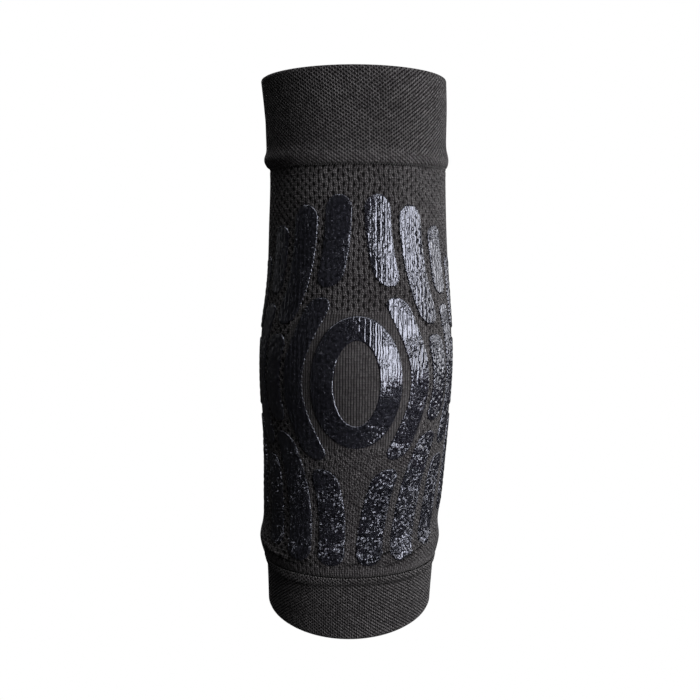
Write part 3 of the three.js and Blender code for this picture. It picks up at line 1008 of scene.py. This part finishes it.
SEAM_THREAD = polyester_thread()

# %% [markdown]
# Geometry Nodes set a rounded stitch at every pitch along the seam, turn it out of the cloth and slant it. An
# Array modifier along a curve could do it too, but it can't slant each stitch about its own middle.

# %% Seam stitches
STITCH_INPUTS = {"Pitch": 1.8 * MM, "Stitch length": 1.0 * MM, "Stitch width": 0.5 * MM, "Slant": 0.0}
STITCH_SIDES = 8
STITCH_RINGS = 5
HALF_UNIT = 0.5
SEAM_STEPS = 360


def seam_stitches_tree():
    tree, given = geometry_tree("seam_stitches", STITCH_INPUTS)
    seam = add(tree, "GeometryNodeMeshToCurve", {"Mesh": given["Geometry"]})
    places = add(tree, "GeometryNodeCurveToPoints", {"Curve": seam, "Length": given["Pitch"]}, mode="LENGTH")
    position = add(tree, "GeometryNodeInputPosition")
    outward = add(tree, "ShaderNodeVectorMath", {0: position, 1: (1, 1, 0)}, operation="MULTIPLY")
    upright = add(tree, "FunctionNodeAlignRotationToVector", {"Vector": outward}, axis="Z")
    turned = add(tree, "FunctionNodeAlignRotationToVector",
                 {"Rotation": upright, "Vector": places.outputs["Tangent"]}, axis="Y", pivot_axis="Z")
    slant = add(tree, "FunctionNodeAxisAngleToRotation", {"Axis": (0, 0, 1), "Angle": given["Slant"]})
    turned = add(tree, "FunctionNodeRotateRotation", {"Rotation": turned, "Rotate By": slant},
                 rotation_space="LOCAL")
    size = add(tree, "ShaderNodeCombineXYZ", {"X": given["Stitch width"], "Y": given["Stitch length"],
                                              "Z": given["Stitch width"]})
    stitch = add(tree, "GeometryNodeMeshUVSphere", {"Segments": STITCH_SIDES, "Rings": STITCH_RINGS,
                                                    "Radius": HALF_UNIT})
    stitch = add(tree, "GeometryNodeSetShadeSmooth", {"Geometry": stitch})
    stitches = add(tree, "GeometryNodeInstanceOnPoints", {"Points": places, "Instance": stitch,
                                                          "Rotation": turned, "Scale": size})
    end_tree(tree, stitches, given["Material"])
    return tree


def seam_stitches(name, sizes, station, out):
    angle = 2 * math.pi * np.arange(SEAM_STEPS) / SEAM_STEPS
    path = on_sleeve(station, angle, out)
    mesh = bpy.data.meshes.new(name)
    mesh.from_pydata(path, [(i, (i + 1) % SEAM_STEPS) for i in range(SEAM_STEPS)], [])
    piece = bpy.data.objects.new(name, mesh)
    bpy.context.scene.collection.objects.link(piece)
    return run_tree(piece, SEAM_STITCHES, Material=SEAM_THREAD, **sizes)


SEAM_STITCHES = seam_stitches_tree()
LOWER_STITCH = {"Pitch": 1.25 * MM, "Stitch length": 0.95 * MM, "Stitch width": 0.65 * MM,
                "Slant": math.radians(-25)}
UPPER_STITCH = {"Pitch": CUFF_WALE / 2 * MM, "Stitch length": 1.3 * MM, "Stitch width": 0.45 * MM,
                "Slant": math.radians(50)}
LOWER_PLACE = {"station": LOWER_SEAM - 0.6, "out": 0.6}
UPPER_PLACE = {"station": UPPER_SEAM - 0.1, "out": -0.1}
STITCHES = [
    seam_stitches("lower_seam_stitches", LOWER_STITCH, **LOWER_PLACE),
    seam_stitches("upper_seam_stitches", UPPER_STITCH, **UPPER_PLACE),
]

# %% [markdown]
# The silicone is laid out as water runs round a stone: strips come down the sleeve, part round an oval ring
# at the point of the elbow and close again below it. Each pad is lofted across its width with round shoulders
# and round ends, lies on the cloth with its roll and creases, and takes a soft copy of the knit's relief. A
# Shrinkwrap modifier could lay flat pads on the cloth, but the sleeve's form is known, so the points go
# straight to their places.

# %% Silicone pads
GRIP_SUNK = -0.25
GRIP_UNDER = -0.4
GRIP_TOP = 0.4
SHOULDER = 0.7
ACROSS_STEPS = 31
UNDER_STEPS = 5
RELIEF_FADE = 4
# The pads' painted crease shade, where the facets also lie flat, is this wide.
PAD_CREASE_WIDTH = 1.0
SILICONE_RELIEF = {"Wale pitch": BODY_WALE, "Course pitch": BODY_COURSE, "Gap depth": 0.14, "Loop swing": 0.1,
                   "Unevenness": 0.6, "Rib pitch": BODY_WALE / 2, "Material": SILICONE}


def round_over(distance, radius):
    """How high a round shoulder stands at a distance in from its edge, from 0 to 1."""
    return np.sqrt(1 - (1 - np.clip(distance / radius, 0, 1)) ** 2)


def pad_piece(name, station, wale, shoulder, ring_rows, rib_height):
    """A pad from rows of points across it. Its lower face lies just inside the cloth."""
    under = np.linspace(ACROSS_STEPS - 1, 0, UNDER_STEPS).round().astype(int)
    station, wale = (np.concatenate([x, x[:, under]], axis=1) for x in (station, wale))
    angle = wale / CLOTH_RADIUS
    cover = np.concatenate([shoulder, np.zeros((len(shoulder), UNDER_STEPS))], axis=1)
    out = GRIP_SUNK + (GRIP_TOP - GRIP_SUNK) * cover
    out[:, ACROSS_STEPS:] = GRIP_UNDER
    out = out + hem_roll(station) - crease_dent(station, angle)
    fields = {"wale": wale, "course": station, "cover": cover**RELIEF_FADE,
              "ribbed": ribbed_zone(station, angle), "dark": creased(station, angle, PAD_CREASE_WIDTH)}
    pad = grid_piece(name, on_sleeve(station, angle, out), fields, ring_rows)
    return run_tree(pad, KNIT_RELIEF, **{**SILICONE_RELIEF, "Rib height": rib_height})


print("the grip stands", GRIP_TOP, "mm out of the cloth")

# %% [markdown]
# The ring frames the point of the elbow. It is lofted like the strips, but its rows close, so it has no ends.

# %% The ring at the point of the elbow
RING = {"half_width": 19, "half_height": 26.5, "stroke": 10, "middle": -1.5}
RING_STEPS = 320
RING_RIB_HEIGHT = 0.03


def elbow_ring():
    turn = 2 * math.pi * np.arange(RING_STEPS)[:, None] / RING_STEPS
    across = np.linspace(-1, 1, ACROSS_STEPS)
    inset = RING["stroke"] * (1 + across) / 2
    wale = (RING["half_width"] - inset) * np.sin(turn)
    station = RING["middle"] + (RING["half_height"] - inset) * np.cos(turn)
    edge = RING["stroke"] / 2 * (1 - np.abs(across))
    shoulder = np.broadcast_to(round_over(edge, SHOULDER), wale.shape)
    return pad_piece("elbow_ring_grip", station, wale, shoulder, True, RING_RIB_HEIGHT)


PADS = {"elbow_ring": elbow_ring()}

# %% [markdown]
# A row of the strips' table gives how far a strip runs from the middle line, away from the elbow and beside
# it, its width, and the heights of its top, its two gaps and its bottom. The edges swing a little with the
# courses, because the ink runs into the gaps of the knit.

# %% The strips
STRIP_COLUMNS = ("far", "elbow", "width", "top", "upper_gap", "lower_gap", "bottom")
STRIPS = [
    (8, 27.5, 12, 73, 34, -36, -84.5),
    (23, 40, 12, 69, 18, -22, -83.5),
    (37.5, 51.2, 10, 61, 30, -34, -79),
    (51, 60.5, 8, 48, 14, -20, -66),
]
STRIP_MIDDLE = -2
STRIP_PARTING = 34
STRIP_ELBOW_WIDTH = 0.84
STRIP_GAP = 4
STRIP_RIB_HEIGHT = 0.09
END_STEPS = np.array([0.02, 0.12, 0.35, 0.7, 1.2, 1.8])
END_LENGTH = 2.4
PAD_STEP = 0.45
EDGE_SWING = 0.22
EDGE_SWING_PITCH = BODY_COURSE / 2
EDGE_SWING_FADE = 3


def flow_strip(name, strip, side, bottom, top):
    middle = stations_between(bottom + END_LENGTH, top - END_LENGTH, PAD_STEP)
    station = np.concatenate([bottom + END_STEPS, middle, top - END_STEPS[::-1]])[:, None]
    parting = np.exp(-(((station - STRIP_MIDDLE) / STRIP_PARTING) ** 2))
    half = strip["width"] / 2 * (1 + (STRIP_ELBOW_WIDTH - 1) * parting)
    from_end = np.minimum(station - bottom, top - station)
    half = half * round_over(from_end, half)
    swing = np.cos(2 * math.pi * station / EDGE_SWING_PITCH) * np.clip(from_end / EDGE_SWING_FADE, 0, 1)
    half = half + EDGE_SWING * swing
    across = np.linspace(-1, 1, ACROSS_STEPS)
    wale = side * (strip["far"] + (strip["elbow"] - strip["far"]) * parting) + across * half
    edge = np.minimum((1 - np.abs(across)) * half, from_end)
    station = np.broadcast_to(station, wale.shape)
    return pad_piece(name, station, wale, round_over(edge, SHOULDER), False, STRIP_RIB_HEIGHT)


def strip_lengths(strip):
    gap = STRIP_GAP / 2
    return (("upper", strip["upper_gap"] + gap, strip["top"]),
            ("middle", strip["lower_gap"] + gap, strip["upper_gap"] - gap),
            ("lower", strip["bottom"], strip["lower_gap"] - gap))


for side_name, side in (("left", -1), ("right", 1)):
    for number, sizes in enumerate(STRIPS, start=1):
        strip = dict(zip(STRIP_COLUMNS, sizes))
        for length_name, bottom, top in strip_lengths(strip):
            node = f"{side_name}_strip_{number}_{length_name}"
            PADS[node] = flow_strip(node + "_grip", strip, side, bottom, top)
print("pads:", len(PADS))

# %% [markdown]
# The sleeve is one body, so every piece rides on it and stands for its solid. The tubes' table also lists a
# slot and the length each has before it is stretched, which the loop does not read.

# %% Ride and replace
TUBES = (
    (BODY, "sleeve_body", "body_knit", 176 * MM),
    (UPPER_CUFF, "upper_cuff", "cuff_knit", 38 * MM),
    (LOWER_CUFF, "lower_cuff", "cuff_knit", 34 * MM),
)
for piece, node, slot, length in TUBES:
    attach(piece, "root")
    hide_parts(node)
for node, pad in PADS.items():
    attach(pad, "root")
    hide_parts(node)
for stitches in STITCHES:
    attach(stitches, "root")
print("pieces:", len(TUBES) + len(PADS) + len(STITCHES))

# %% [markdown]
# The white floor and the white world show to the camera only, so that they don't fill the dark side. Other
# rays find a nearly black world, a little lighter for gloss, which keeps the silicone blue-black.

# %% Floor and world
FLOOR_DROP = 260 * MM
FLOOR_SIZE = 30
FILL = {"To Min": 0.01, "To Max": 0.022}
WHITE = (1, 1, 1, 1)


def stage_floor():
    mesh = bpy.data.meshes.new("floor")
    low = cad_box[0][2] - FLOOR_DROP
    half = FLOOR_SIZE / 2
    corners = [(-half, -half, low), (half, -half, low), (half, half, low), (-half, half, low)]
    mesh.from_pydata(corners, [], [(0, 1, 2, 3)])
    floor = bpy.data.objects.new("floor", mesh)
    bpy.context.scene.collection.objects.link(floor)
    material, tree, _ = material_tree("white_floor")
    tree.nodes.clear()
    glow = add(tree, "ShaderNodeEmission", {"Color": WHITE, "Strength": 1.0})
    add(tree, "ShaderNodeOutputMaterial", {"Surface": glow})
    mesh.materials.append(material)
    floor.visible_diffuse = False
    floor.visible_glossy = False


def white_world():
    world = bpy.data.worlds.new("studio")
    world.use_nodes = True
    tree = world.node_tree
    tree.nodes.clear()
    rays = add(tree, "ShaderNodeLightPath").outputs
    backdrop = add(tree, "ShaderNodeBackground", {"Color": WHITE, "Strength": 1.0})
    dim = add(tree, "ShaderNodeMapRange", {"Value": rays["Is Glossy Ray"], **FILL})
    fill = add(tree, "ShaderNodeBackground", {"Color": WHITE, "Strength": dim})
    mixed = add(tree, "ShaderNodeMixShader", {0: rays["Is Camera Ray"], 1: fill, 2: backdrop})
    add(tree, "ShaderNodeOutputWorld", {"Surface": mixed})
    bpy.context.scene.world = world


stage_floor()
white_world()
print("floor at", round(cad_box[0][2] - FLOOR_DROP, 3))

# %% [markdown]
# The photograph is lit by a large soft light on the right, at the sleeve's own height. It lights the knit
# across the front, gives the silicone its white streaks right of the middle and leaves the left side nearly
# black. Two lights on the left are seen only in gloss, so they make the silicone sparkle there without
# lighting the knit. A light behind keeps the back readable and a weak bounce lifts the lower fold, both
# without gloss.

# %% Lights
LIGHT_DISTANCE = 1.2
LIGHTS = (
    {"name": "key", "azimuth": 50, "elevation": 4, "size": (0.62, 0.6), "watts": 14.5},
    {"name": "side", "azimuth": 112, "elevation": 6, "size": (0.4, 0.7), "watts": 5.8},
    {"name": "top", "azimuth": 28, "elevation": 55, "size": (0.7, 0.7), "watts": 8.6},
    {"name": "left", "azimuth": -52, "elevation": 4, "size": (0.1, 0.5), "watts": 0.05},
    {"name": "sparkle", "azimuth": -70, "elevation": 42, "size": (0.35, 0.35), "watts": 3.4,
     "diffuse": False},
    {"name": "edge", "azimuth": -125, "elevation": 12, "size": (0.3, 0.7), "watts": 0.18, "diffuse": False},
    {"name": "back", "azimuth": 195, "elevation": 22, "size": (0.6, 0.8), "watts": 14, "glossy": False},
    {"name": "bounce", "azimuth": -45, "elevation": -40, "size": (0.3, 0.3), "watts": 0.045,
     "distance": 0.4, "glossy": False},
)


def soft_light(name, azimuth, elevation, size, watts, distance=LIGHT_DISTANCE, diffuse=True, glossy=True):
    """A soft light that faces the sleeve. Azimuth 0 is in front and 90 on the right."""
    light = bpy.data.objects.new(name, bpy.data.lights.new(name, "AREA"))
    bpy.context.scene.collection.objects.link(light)
    a, e = math.radians(azimuth), math.radians(elevation)
    towards = Vector((math.sin(a) * math.cos(e), -math.cos(a) * math.cos(e), math.sin(e)))
    light.location = towards * distance
    light.rotation_euler = towards.to_track_quat("Z", "Y").to_euler()
    light.data.shape = "RECTANGLE"
    light.data.size, light.data.size_y = size
    light.data.energy = watts
    light.visible_diffuse = diffuse
    light.visible_glossy = glossy


for light in LIGHTS:
    soft_light(**light)
bpy.context.scene.view_settings.view_transform = "Standard"
print("lights:", len(LIGHTS))
